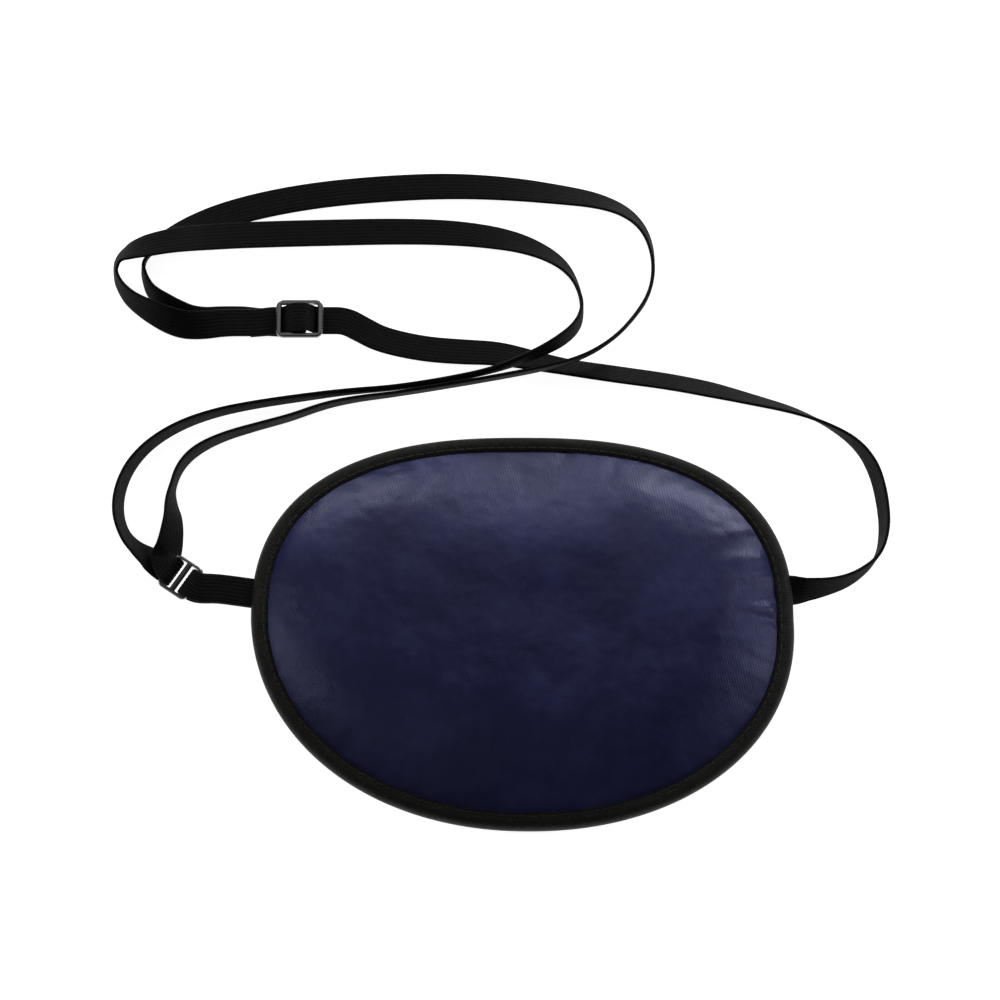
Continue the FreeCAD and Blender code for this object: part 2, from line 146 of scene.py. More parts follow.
UPPER_LOOP = [
    (-0.0738, 0.0698, 0.0026, -55), (-0.0768, 0.0724, 0.0030, -74), (-0.0783, 0.0755, 0.0031, -82),
    (-0.0789, 0.0787, 0.0031, -85), (-0.0765, 0.0822, 0.0027, -58), (-0.0735, 0.0848, 0.0019, -30),
    (-0.0690, 0.0874, 0.0012, -12), (-0.0625, 0.0903, 0.0009, -5), (-0.0530, 0.0930, 0.0008, -3),
    (-0.0420, 0.0950, 0.0008, -3), (-0.0290, 0.0963, 0.0008, -3), (-0.0155, 0.0969, 0.0009, -5),
    (-0.0030, 0.0962, 0.0012, -14), (0.0080, 0.0946, 0.0018, -28), (0.0160, 0.0931, 0.0023, -40),
    (0.0222, 0.0903, 0.0028, -54), (0.0262, 0.0855, 0.0031, -72), (0.0276, 0.0785, 0.0032, -88),
    (0.0266, 0.0722, 0.0036, -94), (0.0234, 0.0666, 0.0052, -99), (0.0190, 0.0611, 0.0072, -102),
    (0.0125, 0.0567, 0.0079, -102), (0.0040, 0.0545, 0.0074, -101), (-0.0055, 0.0532, 0.0056, -101),
    (-0.0155, 0.0519, 0.0040, -101), (-0.0255, 0.0505, 0.0031, -101), (-0.0345, 0.0494, 0.0030, -99),
    (-0.0410, 0.0479, 0.0030, -97), (-0.0475, 0.0454, 0.0030, -96), (-0.0540, 0.0436, 0.0030, -95),
    (-0.0615, 0.0413, 0.0030, -92), (-0.0670, 0.0384, 0.0030, -88), (-0.0702, 0.0348, 0.0030, -88),
    (-0.0716, 0.0304, 0.0030, -88), (-0.0717, 0.0269, 0.0030, -70), (-0.0711, 0.0238, 0.0031, -54),
    (-0.0714, 0.0208, 0.0032, -42),
]
ROOT_END = [
    (0.05802, 0.0089, 0.0028, -52), (0.0565, 0.00873, 0.00277, -40), (0.0550, 0.0087, 0.0028, -20),
    (0.0530, 0.0088, 0.0028, -5), (0.0517, 0.0089, 0.0028, 0),
]


# ---------------------------------------------------------------- geometry
def unit(vectors):
    """Each row of an array, at length 1."""
    return vectors / np.linalg.norm(vectors, axis=-1, keepdims=True)


def smooth_line(points):
    """Points close together on the smooth line that these control points pull."""
    curve = bpy.data.curves.new("route", "CURVE")
    curve.dimensions = "3D"
    curve.resolution_u = ROUTE_STEPS
    spline = curve.splines.new("NURBS")
    spline.points.add(len(points) - 1)
    for point, place in zip(spline.points, points):
        point.co = (*place, 1.0)
    spline.order_u = 3
    spline.use_endpoint_u = True
    guide = bpy.data.objects.new("route", curve)
    bpy.context.scene.collection.objects.link(guide)
    mesh = bpy.data.meshes.new_from_object(guide)
    line = np.array([tuple(v.co) for v in mesh.vertices])
    bpy.data.objects.remove(guide)
    bpy.data.curves.remove(curve)
    bpy.data.meshes.remove(mesh)
    return line


def spread(values, count):
    """Values given at the points of a route, at each sample of its smooth line."""
    values = np.array(values, float)
    last = len(values) - 2
    at = [0.0, *[i - 0.5 for i in range(1, len(values) - 1)], last]
    samples = np.linspace(0.0, last, count)
    if values.ndim == 1:
        return np.interp(samples, at, values)
    return np.column_stack([np.interp(samples, at, column) for column in values.T])


def softened(values, reach=7):
    """A running mean that keeps both ends."""
    kernel = np.ones(reach) / reach
    padded = np.concatenate([np.full(reach, values[0]), values, np.full(reach, values[-1])])
    smooth = np.convolve(padded, kernel, "same")[reach:-reach]
    ends = np.minimum(np.arange(len(values)), np.arange(len(values))[::-1]) / reach
    share = np.clip(ends, 0, 1)
    return smooth * share + values * (1 - share)


def grid_piece(name, grid, u, v, wrap_rows=False, caps=False):
    """A mesh over a grid of points; u and v are where each column and row lies on the cloth."""
    rows, columns = grid.shape[:2]
    faces = []
    places = []
    for i in range(rows if wrap_rows else rows - 1):
        for j in range(columns):
            after = (i + 1) % rows * columns
            beside = (j + 1) % columns
            faces.append((i * columns + j, i * columns + beside, after + beside, after + j))
            places += [(u[j], v[i]), (u[j + 1], v[i]), (u[j + 1], v[i + 1]), (u[j], v[i + 1])]
    if caps:
        for row in (0, rows - 1):
            faces.append(tuple(row * columns + j for j in range(columns)))
            places += [(u[j], v[row]) for j in range(columns)]
    mesh = bpy.data.meshes.new(name)
    mesh.from_pydata(grid.reshape(-1, 3).tolist(), [], faces)
    layer = mesh.uv_layers.new(name="cloth")
    layer.data.foreach_set("uv", np.array(places, np.float32).ravel())
    return finished(name, mesh)


def finished(name, mesh):
    """An object with outward, smooth faces and a sharp edge round each flat end."""
    shape = bmesh.new()
    shape.from_mesh(mesh)
    bmesh.ops.recalc_face_normals(shape, faces=shape.faces)
    for face in shape.faces:
        if len(face.verts) > 4:
            for edge in face.edges:
                edge.smooth = False
    shape.to_mesh(mesh)
    shape.free()
    mesh.polygons.foreach_set("use_smooth", [True] * len(mesh.polygons))
    piece = bpy.data.objects.new(name, mesh)
    bpy.context.scene.collection.objects.link(piece)
    return piece


def set_up(piece, material, body=None, replaces=()):
    """Give a piece its finish, its body and the CAD nodes that it stands for."""
    piece.data.materials.clear()
    piece.data.materials.append(material)
    if body:
        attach(piece, body)
    if replaces:
        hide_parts(*replaces)
    return piece


# ---------------------------------------------------------------- elastic
def headings(line):
    """The direction along a line at each of its points."""
    return unit(np.gradient(line, axis=0, edge_order=2))


def elastic_ring():
    """The outline of the elastic's section: ribs on both faces and rounded edges."""
    share = np.linspace(-1.0, 1.0, 4 * RIBS + 1)
    rib = 0.5 + 0.5 * np.cos(math.pi * RIBS * (share + 1))
    height = (ELASTIC_THICK / 2 - RIB_DEPTH * rib) * np.sqrt(1 - np.abs(share) ** 14)
    top = np.column_stack([share * ELASTIC_WIDTH / 2, height])
    return np.vstack([top, top[-2:0:-1] * (1, -1)])


def ribbon(name, line, across):
    """A length of elastic along a line, with the direction across it at each point."""
    ahead = headings(line)
    across = unit(across - np.sum(across * ahead, axis=1, keepdims=True) * ahead)
    out = np.cross(ahead, across)
    ring = elastic_ring()
    grid = line[:, None] + ring[None, :, :1] * across[:, None] + ring[None, :, 1:] * out[:, None]
    steps = np.linalg.norm(np.diff(line, axis=0), axis=1)
    along = np.concatenate([[0.0], np.cumsum(steps)]) / MM
    face = np.linspace(0.0, ELASTIC_WIDTH / MM, 4 * RIBS + 1)
    round_it = np.concatenate([face, face[-2::-1]])
    return grid_piece(name, grid, round_it, along, caps=True)


def leaning(line, leans):
    """The direction across the elastic where it leans by these angles."""
    ahead = headings(line)
    side = unit(np.cross(UP, ahead))
    rise = np.cross(ahead, side)
    lean = np.radians(leans)[:, None]
    return np.cos(lean) * side + np.sin(lean) * rise


def route(points):
    """A route's smooth line and the direction across the elastic along it."""
    line = smooth_line([p[:3] for p in points])
    return line, leaning(line, softened(spread([p[3] for p in points], len(line))))


def shaped(name, stations):
    """A short length of elastic through stations of a place and a direction across."""
    line = smooth_line([place for place, across in stations])
    return ribbon(name, line, spread([across for place, across in stations], len(line)))


def two_runs(lead, loop, names):
    """A lead and a loop that are one smooth line, cut where their routes meet."""
    line, across = route(lead[:-1] + loop[1:])
    cut = int(np.argmin(np.linalg.norm(line - np.array(lead[-1][:3]), axis=1)))
    first = ribbon(names[0], line[:cut + 1], across[:cut + 1])
    second = ribbon(names[1], line[cut:], across[cut:])
    return first, second, line[cut:]


def at_link(along, up, aside=0.0):
    """A place given along the link from the tab's bar, along its bars, and up from the seam."""
    direction = np.array([math.cos(LINK_ANGLE), math.sin(LINK_ANGLE)])
    bar = np.array([math.sin(LINK_ANGLE), -math.cos(LINK_ANGLE)])
    place = LINK_PIVOT + along * direction + aside * bar
    return (*place, SEAM_Z + up)


def at_slider(x, z, y=0.0):
    """A place given in millimetres from the middle of the slide, with z from the table."""
    return (SLIDER_AT[0] + x * MM, SLIDER_AT[1] + y * MM, z * MM)


def leaned_bar(degrees):
    """The direction of the link's bars, leaned by an angle."""
    lean = math.radians(degrees)
    return np.array(BAR) * math.cos(lean) + UP * math.sin(lean)


def link_fold():
    """The strap's turn round the far bar of the link."""
    half = BEND / 2
    high = BEND * math.sin(math.radians(60))
    end = UPPER_LOOP[-1]
    lean = math.radians(end[3])
    start_lean = LOWER_LOOP[-1][3]
    stations = [
        (LOWER_LOOP[-1][:3], leaned_bar(start_lean)),
        (at_link(FAR_BAR + 0.0040, -0.00039), leaned_bar(start_lean * 0.5)),
        (at_link(FAR_BAR + 0.0022, -0.0005), BAR),
        (at_link(FAR_BAR + half, -high), BAR),
        (at_link(FAR_BAR - half, -high), BAR),
        (at_link(FAR_BAR - BULGE, 0.0), BAR),
        (at_link(FAR_BAR - half, high), BAR),
        (at_link(FAR_BAR + half, high, 0.0004), BAR),
        (at_link(FAR_BAR + 0.0020, 0.0008, 0.0016), (0.80, 0.60, -0.1)),
        ((end[0] - 0.0003, end[1] - 0.0030, 0.0033), (0.88, 0.20, -0.55)),
        (end[:3], (math.cos(lean), 0.0, math.sin(lean))),
    ]
    return shaped("strap_turn_on_link", stations)


def tab():
    """The short tab: it leaves the seam, turns round the link's near bar and goes back in."""
    half = BEND / 2
    high = BEND * math.sin(math.radians(60))
    below = SEAM_Z - ELASTIC_THICK / 2
    above = SEAM_Z + ELASTIC_THICK / 2
    stations = [
        ((-0.0518, 0.00765, below), TAB_SIDE), ((-0.0570, 0.0084, below), TAB_SIDE),
        ((-0.0620, 0.0091, below), TAB_SIDE), ((-0.0652, 0.0090, below - 0.0004), BAR),
        (at_link(-half, -high), BAR), (at_link(half, -high), BAR), (at_link(BULGE, 0.0), BAR),
        (at_link(half, high), BAR), (at_link(-half, high), BAR),
        ((-0.0652, 0.0090, above + 0.0004), BAR), ((-0.0620, 0.0091, above), TAB_SIDE),
        ((-0.0570, 0.0084, above), TAB_SIDE), ((-0.0518, 0.00765, above), TAB_SIDE),
    ]
    return shaped("link_tab_elastic", stations)


def slider_folds():
    """The strap's pass over the slide's middle bar, and its sewn end under it."""
    flat = (0.0, 1.0, 0.0)
    over = [(7.52, 2.11), (4.6, 2.11), (3.5, 2.15), (2.3, 3.7), (1.45, 4.95), (0.5, 5.15), (-0.5, 5.15),
            (-1.45, 4.95), (-2.3, 3.7), (-3.5, 2.15), (-4.6, 2.11), (-6.0, 2.1)]
    stations = [(at_slider(x, z), flat) for x, z in over]
    stations += [(at_slider(x, 2.11, -0.45), flat) for x in (-9.0, -11.5, -13.02)]
    passing = shaped("strap_over_slide", stations)
    under = [(-4.0, 0.45), (-2.6, 0.5), (-1.4, 1.6), (-0.62, 2.07), (0.62, 2.07), (1.25, 3.15),
             (0.62, 4.23), (-0.62, 4.23), (-1.5, 3.3), (-2.5, 2.0), (-3.4, 1.32), (-5.5, 1.3)]
    stations = [(at_slider(x, 1.25, 0.45), flat) for x in (-13.02, -11.5)]
    stations.append((at_slider(-8.5, 0.45, 0.3), flat))
    stations += [(at_slider(x, z), flat) for x, z in under]
    stations += [(at_slider(-9.0, 1.3, -0.3), flat), (at_slider(-10.4, 1.3, -0.4), (0.08, 1.0, 0.0))]
    return passing, shaped("strap_sewn_end", stations)


# ---------------------------------------------------------------- the pad
def outline(angles, inset):
    """Points on the patch's outline at these angles, moved inwards by inset."""
    upper = np.sin(angles) >= 0
    power = 2.0 / np.where(upper, UPPER_FULLNESS, LOWER_FULLNESS)
    height = np.where(upper, TOP_Y - WIDEST_Y, WIDEST_Y - BOTTOM_Y) - inset
    across = np.sign(np.cos(angles)) * np.abs(np.cos(angles)) ** power
    along = np.sign(np.sin(angles)) * np.abs(np.sin(angles)) ** power
    lean = np.where(upper, 0.0, LOWER_LEAN * np.sin(-along * math.pi / 2))
    return np.column_stack([(HALF_WIDTH - inset) * across + lean, WIDEST_Y + height * along])


def even_angles(count):
    """Angles whose points on the outline are evenly spaced along it."""
    fine = np.linspace(0.0, 2 * math.pi, 6001)
    rim = outline(fine, 0.0)
    steps = np.linalg.norm(np.diff(rim, axis=0), axis=1)
    along = np.concatenate([[0.0], np.cumsum(steps)])
    return np.interp(np.linspace(0.0, along[-1], count, endpoint=False), along, fine), along[-1]


def ripple(x, y, seed, scale):
    """A smooth random height from -1 to 1, the same in every run."""
    return noise.noise(Vector((x * scale, y * scale, seed)))


def near(angle, middle, reach):
    """1 at an angle on the outline and 0 further from it than reach, in radians."""
    away = abs((angle - middle + math.pi) % (2 * math.pi) - math.pi)
    return max(0.0, 1 - (away / reach) ** 2)


def round_noise(round_at, waves, depth):
    """A smooth random height from -1 to 1 that joins up round the outline."""
    turn = 2 * math.pi * round_at
    reach = waves / (2 * math.pi)
    return noise.noise(Vector((reach * math.cos(turn), reach * math.sin(turn), depth)))


def pucker(angle, inset, round_at):
    """Gathers of the satin beside the binding: strongest where the strap is sewn in."""
    by_root = near(angle, 0.10, 0.45)
    strength = 0.00005 + 0.00075 * by_root + 0.00003 * near(angle, 1.9, 1.3)
    depth = max(0.0, inset - DOME_INSET)
    rise = min(1.0, depth / 0.0012)
    fade = math.exp(-depth / (0.0028 + 0.0014 * by_root))
    folds = round_noise(round_at, 85, depth * 60.0)
    folds += 0.5 * round_noise(round_at, 170, 8.1 + depth * 90.0)
    return max(-DEEPEST_FOLD, strength * rise * fade * folds * 2.2)


def pad_grid(first_inset, level, rings, angles):
    """Rings of points from the rim to the middle, with their height from level()."""
    rim = outline(angles, first_inset)
    radius = np.linalg.norm(rim - CENTRE, axis=1)
    grid = np.zeros((len(rings), len(angles), 3))
    for i, share in enumerate(rings):
        places = CENTRE + (rim - CENTRE) * share
        for j, (x, y) in enumerate(places):
            inset = first_inset + radius[j] * (1 - share)
            grid[i, j] = (x, y, level(x, y, inset, angles[j], j / len(angles)))
    return grid


def front_level(x, y, inset, angle, round_at):
    """Height of the satin: a padded dome with broad folds and gathers beside the binding."""
    share = min(1.0, max(0.0, inset - DOME_INSET) / (DOME_REACH - DOME_INSET))
    dome = COVER_EDGE_Z + (CROWN_Z - COVER_EDGE_Z) * (1 - (1 - share) ** DOME_POWER)
    broad = sum(height * ripple(x, y, seed, scale) for height, seed, scale in BROAD_FOLDS)
    return dome + broad * min(1.0, share * 6) + pucker(angle, inset, round_at)


def back_level(x, y, inset, angle, round_at):
    """Height of the lining: flat on the table and rising to the seam, whatever the angle."""
    share = min(1.0, max(0.0, inset - DOME_INSET) / (FLAT_INSET - DOME_INSET))
    slope = LINING_EDGE_Z * (1 - share) ** 2
    return slope + 0.00012 * (1 + ripple(x, y, 2.2, 120.0)) * min(1.0, share * 4) * (1 - share * 0.6)


def ring_shares(count):
    """Shares of the radius for the rings, closer together beside the rim."""
    return [1 - (i / count) ** 1.35 for i in range(count)]


def pad_piece(name, first_inset, level, count=40):
    """A layer of the pad as a polar mesh, closed in the middle."""
    angles, length = even_angles(AROUND)
    grid = pad_grid(first_inset, level, ring_shares(count), angles)
    u = np.linspace(0.0, length / MM, AROUND + 1)
    piece = grid_piece(name, grid, u, np.linspace(0.0, 40.0, count))
    shape = bmesh.new()
    shape.from_mesh(piece.data)
    shape.verts.ensure_lookup_table()
    inner = shape.verts[(count - 1) * AROUND:]
    middle = shape.verts.new(sum((v.co for v in inner), Vector()) / AROUND)
    for j, vert in enumerate(inner):
        shape.faces.new((vert, inner[(j + 1) % AROUND], middle)).smooth = True
    bmesh.ops.recalc_face_normals(shape, faces=shape.faces)
    if sum(f.normal.z for f in shape.faces) < 0:
        bmesh.ops.reverse_faces(shape, faces=shape.faces)
    shape.to_mesh(piece.data)
    shape.free()
    return piece


def binding_ring(around):
    """The folded tape's section, as inset and height pairs, in a closed loop."""
    dip = 0.00010 * max(0.0, math.cos(around * 2 * math.pi)) ** 2
    outer = [(3.45, 4.02), (3.45, 4.34), (3.1, 4.56), (2.6, 4.66 - dip / MM), (2.0, 4.78), (1.3, 4.74),
             (0.65, 4.42), (0.2, 3.85), (0.0, 3.2)]
    half = [(inset * MM, z * MM) for inset, z in outer]
    lower = [(inset, 2 * SEAM_Z - z) for inset, z in half[::-1]]
    inner_top = [(0.0006, 0.0034), (0.0014, 0.0040), (0.0026, 0.0041)]
    inner_low = [(inset, 2 * SEAM_Z - z) for inset, z in inner_top[::-1]]
    return half + lower + inner_low + inner_top


def binding():
    """The tape folded over the edge of the pad, with a dimple at each stitch."""
    count = BINDING_STEPS
    angles, length = even_angles(count)
    stitches = round(length / STITCH_PITCH)
    grid = []
    for i, angle in enumerate(angles):
        ring = binding_ring(i / count * stitches)
        sway = 0.00010 * round_noise(i / count, 60, 0.4)
        puff = 0.00012 * round_noise(i / count, 95, 7.4)
        row = []
        for inset, z in ring:
            x, y = outline(np.array([angle]), inset + sway * inset / 0.0034)[0]
            row.append((x, y, z + puff * math.copysign(min(1.0, inset / 0.001), z - SEAM_Z)))
        grid.append(row)
    grid = np.array(grid)
    steps = np.linalg.norm(np.diff(grid[0], axis=0, append=grid[0][:1]), axis=1)
    u = np.concatenate([[0.0], np.cumsum(steps)]) / MM
    return grid_piece("binding_tape", grid, u, np.linspace(0.0, length / MM, count + 1), wrap_rows=True)


def capsules(name, pairs, radius, sides=8):
    """Short rounded threads between pairs of points, as one mesh."""
    verts = []
    faces = []
    for start, end in pairs:
        start, end = np.array(start), np.array(end)
        ahead = unit(end - start)
        side = unit(np.cross(ahead, UP + np.array([0.01, 0.0, 0.0])))
        rise = np.cross(ahead, side)
        first = len(verts)
        rings = [(start, 0.35, -0.85), (start, 0.85, -0.45), (start, 1.0, 0.1),
                 (end, 1.0, -0.1), (end, 0.85, 0.45), (end, 0.35, 0.85)]
        for centre, width, shift in rings:
            for k in range(sides):
                turn = 2 * math.pi * k / sides
                spoke = side * math.cos(turn) + rise * math.sin(turn)
                verts.append(tuple(centre + ahead * shift * radius + spoke * width * radius))
        for ring in range(len(rings) - 1):
            for k in range(sides):
                a = first + ring * sides
                faces.append((a + k, a + (k + 1) % sides, a + sides + (k + 1) % sides, a + sides + k))
        faces.append(tuple(first + k for k in range(sides)))
        faces.append(tuple(first + (len(rings) - 1) * sides + k for k in range(sides)))
    mesh = bpy.data.meshes.new(name)
    mesh.from_pydata(verts, [], faces)
    return finished(name, mesh)


def stitches(name, z):
    """The line of sewing on the binding at height z."""
    count = round(even_angles(8)[1] / STITCH_PITCH)
    places = outline(even_angles(count * STITCH_STEPS)[0], STITCH_INSET)
    run = round(STITCH_STEPS * STITCH_LENGTH / STITCH_PITCH)
    pairs = []
    for i in range(count):
        a = places[i * STITCH_STEPS - run // 2]
        b = places[i * STITCH_STEPS + run // 2]
        pairs.append(((*a, z), (*b, z)))
    return capsules(name, pairs, THREAD_RADIUS)


def bar_tack():
    """Zigzag sewing through the plies of the sewn end."""
    x0 = SLIDER_AT[0] - 0.0095
    ys = [SLIDER_AT[1] + 0.0022 - 0.0044 * i / 10 for i in range(11)]
    points = [(x0 + (0.0006 if i % 2 else -0.0006), y, 0.00010) for i, y in enumerate(ys)]
    return capsules("sewn_end_bar_tack", list(zip(points, points[1:])), 0.00012)


def puffed(piece, rim_rings, cap):
    """Swell the satin like a sewn pad: cloth with pressure, held at its rim, on a large copy.

    The uneven part of the swelling fades out towards the middle, where the mesh is finest.
    """
    scale = SWELL_SCALE
    mesh = piece.data
    start = np.array([tuple(v.co) for v in mesh.vertices])
    copy = bpy.data.objects.new("swelling", mesh.copy())
    bpy.context.scene.collection.objects.link(copy)
    copy.data.transform(((scale, 0, 0, 0), (0, scale, 0, 0), (0, 0, scale, 0), (0, 0, 0, 1)))
    held = copy.vertex_groups.new(name="held")
    held.add(list(range(AROUND * rim_rings)), 1.0, "REPLACE")
    cloth = copy.modifiers.new("cloth", "CLOTH")
    cloth.settings.quality = 6
    cloth.settings.mass = 0.2
    cloth.settings.tension_stiffness = 20
    cloth.settings.compression_stiffness = 20
    cloth.settings.shear_stiffness = 8
    cloth.settings.bending_stiffness = 2.0
    cloth.settings.vertex_group_mass = "held"
    cloth.settings.shrink_min = -0.008
    cloth.settings.use_pressure = True
    cloth.settings.uniform_pressure_force = 1.5
    cloth.settings.effector_weights.gravity = 0.0
    cloth.collision_settings.use_collision = False
    cloth.point_cache.frame_start = 1
    cloth.point_cache.frame_end = SWELL_FRAMES
    scene = bpy.context.scene
    for step in range(1, SWELL_FRAMES + 1):
        scene.frame_set(step)
    deps = bpy.context.evaluated_depsgraph_get()
    swollen = copy.evaluated_get(deps).to_mesh()
    places = np.array([tuple(v.co) for v in swollen.vertices]) / scale
    bpy.data.objects.remove(copy)
    scene.frame_set(1)
    moved = places - start
    far = np.linalg.norm(moved, axis=1, keepdims=True)
    moved *= np.minimum(1.0, cap / np.maximum(far, 1e-9))
    rings = moved[:-1].reshape(-1, AROUND, 3)
    broad = sum(np.roll(rings, k, axis=1) for k in range(-12, 13)) / 25
    even = rings.mean(axis=1, keepdims=True)
    outward = np.array(ring_shares(len(rings)))[:, None, None]
    uneven = broad - even + FOLDS_KEPT * (rings - broad)
    rings[:] = even + uneven * np.clip((outward - 0.3) / 0.45, 0.0, 1.0)
    mesh.vertices.foreach_set("co", (start + moved).ravel())
    mesh.update()


# ---------------------------------------------------------------- materials
class Finish:
    """A material with short calls for its nodes."""

    def __init__(self, name, **sockets):
        """A new material with these values on its shader's sockets."""
        self.material = bpy.data.materials.new(name)
        self.material.use_nodes = True
        self.tree = self.material.node_tree
        self.shader = self.tree.nodes["Principled BSDF"]
        for socket, value in sockets.items():
            self.shader.inputs[socket.replace("_", " ")].default_value = value

    def add(self, kind, inputs=None, **settings):
        """A node with its settings, and its inputs linked or set."""
        node = self.tree.nodes.new(kind)
        for key, value in settings.items():
            setattr(node, key, value)
        for key, value in (inputs or {}).items():
            if isinstance(value, bpy.types.NodeSocket):
                self.tree.links.new(value, node.inputs[key])
            else:
                node.inputs[key].default_value = value
        return node

    def place(self, kind="Object", turn=0.0):
        """Coordinates on the piece, turned by an angle."""
        where = self.add("ShaderNodeTexCoord").outputs[kind]
        spin = self.add("ShaderNodeMapping", {"Vector": where})
        spin.inputs["Rotation"].default_value = (0, 0, turn)
        return spin.outputs["Vector"]

    def noise(self, where, scale, detail=3.0, rough=0.5):
        """A cloudy share from 0 to 1."""
        node = self.add("ShaderNodeTexNoise", {"Vector": where, "Scale": scale, "Detail": detail,
                                              "Roughness": rough})
        return node.outputs["Fac"]

    def waves(self, where, period, direction="X", bend=0.0):
        """Even bands of a given period, for ribs and threads."""
        node = self.add("ShaderNodeTexWave", {"Vector": where, "Scale": 0.314159 / period,
                                             "Distortion": bend, "Detail": 1.0},
                        wave_type="BANDS", bands_direction=direction, wave_profile="SIN")
        return node.outputs["Fac"]

    def math(self, operation, a, b):
        """Two numbers or outputs, joined by an operation."""
        return self.add("ShaderNodeMath", {0: a, 1: b}, operation=operation).outputs[0]

    def between(self, share, low, high, a, b):
        """A share from low to high, mapped to a value from a to b."""
        node = self.add("ShaderNodeMapRange", {"Value": share, "From Min": low, "From Max": high,
                                              "To Min": a, "To Max": b})
        return node.outputs["Result"]

    def color(self, share, stops):
        """Colour the surface by a share, through stops of position and colour."""
        ramp = self.add("ShaderNodeValToRGB", {"Fac": share})
        while len(ramp.color_ramp.elements) < len(stops):
            ramp.color_ramp.elements.new(0.5)
        for element, (position, tone) in zip(ramp.color_ramp.elements, stops):
            element.position = position
            element.color = (*tone, 1.0)
        self.tree.links.new(ramp.outputs["Color"], self.shader.inputs["Base Color"])

    def roughness(self, share, low, high):
        """Vary the roughness from low to high by a share."""
        self.tree.links.new(self.between(share, 0.3, 0.7, low, high), self.shader.inputs["Roughness"])

    def bump(self, *layers):
        """Stack heights, each with its depth in metres."""
        normal = None
        for height, depth in layers:
            inputs = {"Height": height, "Strength": 1.0, "Distance": depth}
            if normal is not None:
                inputs["Normal"] = normal
            normal = self.add("ShaderNodeBump", inputs).outputs["Normal"]
        self.tree.links.new(normal, self.shader.inputs["Normal"])


def satin():
    """Navy satin: a fine weave, soft mottling and a blue sheen."""
    f = Finish("satin_navy_cloth", Roughness=0.4, Specular_IOR_Level=0.55, Sheen_Weight=0.28,
               Sheen_Roughness=0.35, Anisotropic=0.35)
    f.shader.inputs["Sheen Tint"].default_value = (0.40, 0.45, 1.0, 1.0)
    f.shader.inputs["Specular Tint"].default_value = (0.62, 0.66, 1.0, 1.0)
    where = f.place()
    mottle = f.noise(where, 70.0, 4.0, 0.6)
    fine = f.noise(where, 420.0, 2.0)
    share = f.math("ADD", f.math("MULTIPLY", mottle, 0.8), f.math("MULTIPLY", fine, 0.2))
    f.color(share, [(0.30, (0.010, 0.011, 0.050)), (0.52, (0.016, 0.017, 0.074)),
                    (0.72, (0.026, 0.027, 0.108))])
    f.roughness(mottle, 0.29, 0.42)
    threads = f.waves(f.place(turn=math.radians(8)), 0.00032, "X", 0.6)
    cross = f.waves(f.place(turn=math.radians(8)), 0.00045, "Y", 0.8)
    f.bump((f.noise(where, 130.0, 2.0), 0.00045), (threads, 0.00002), (cross, 0.000008))
    return f.material


def lining():
    """Matt black cotton of the face side."""
    f = Finish("lining_cotton", Specular_IOR_Level=0.25, Sheen_Weight=0.15, Sheen_Roughness=0.6)
    where = f.place()
    blotch = f.noise(where, 90.0, 4.0)
    f.color(blotch, [(0.3, (0.009, 0.009, 0.010)), (0.7, (0.020, 0.020, 0.022))])
    f.roughness(blotch, 0.78, 0.92)
    weave = f.math("MULTIPLY", f.waves(where, 0.00050, "X"), f.waves(where, 0.00050, "Y"))
    f.bump((f.noise(where, 300.0, 2.0), 0.00012), (weave, 0.00006))
    return f.material


def tape():
    """The binding: black woven tape with picks across it."""
    f = Finish("binding_tape_weave", Specular_IOR_Level=0.20, Sheen_Weight=0.04, Sheen_Roughness=0.5)
    cloth = f.place("UV")
    where = f.place()
    blotch = f.noise(where, 240.0, 4.0)
    f.color(blotch, [(0.3, (0.0038, 0.0038, 0.0031)), (0.7, (0.0095, 0.0089, 0.0067))])
    f.roughness(blotch, 0.46, 0.62)
    picks = f.waves(cloth, 0.42, "Y", 0.5)
    warp = f.waves(cloth, 0.30, "X", 0.5)
    f.bump((f.noise(where, 500.0, 2.0), 0.00010), (picks, 0.00005), (warp, 0.00002))
    return f.material


def elastic():
    """The strap: black knitted elastic, its picks between the ribs of the mesh."""
    f = Finish("elastic_knit", Specular_IOR_Level=0.09, Sheen_Weight=0.02, Sheen_Roughness=0.5)
    cloth = f.place("UV")
    where = f.place()
    blotch = f.noise(where, 160.0, 4.0)
    f.color(blotch, [(0.3, (0.0028, 0.0028, 0.0031)), (0.7, (0.0064, 0.0060, 0.0060))])
    f.roughness(blotch, 0.55, 0.72)
    picks = f.waves(cloth, 0.46, "Y", 0.4)
    ribs = f.waves(cloth, 0.375, "X")
    knit = f.math("MULTIPLY", picks, ribs)
    f.bump((f.noise(where, 900.0, 2.0), 0.00005), (knit, 0.00007))
    return f.material


def plastic():
    """Glossy black moulding of the link and the slide, a little scuffed."""
    f = Finish("slide_moulded_plastic", Specular_IOR_Level=1.0, Coat_Weight=1.0, Coat_IOR=1.8,
               Coat_Roughness=0.12)
    where = f.place()
    wear = f.noise(where, 700.0, 4.0, 0.6)
    f.color(wear, [(0.3, (0.0080, 0.0080, 0.0085)), (0.75, (0.0160, 0.0160, 0.0165))])
    f.roughness(wear, 0.16, 0.30)
    f.bump((wear, 0.00003))
    return f.material


def thread():
    """Black twisted sewing thread."""
    f = Finish("sewing_thread", Specular_IOR_Level=0.35, Sheen_Weight=0.1)
    where = f.place()
    fibre = f.noise(where, 1500.0, 3.0)
    f.color(fibre, [(0.3, (0.006, 0.006, 0.006)), (0.7, (0.018, 0.017, 0.016))])
    f.roughness(fibre, 0.42, 0.6)
    f.bump((f.waves(f.place(turn=0.7), 0.00022), 0.00003))
    return f.material


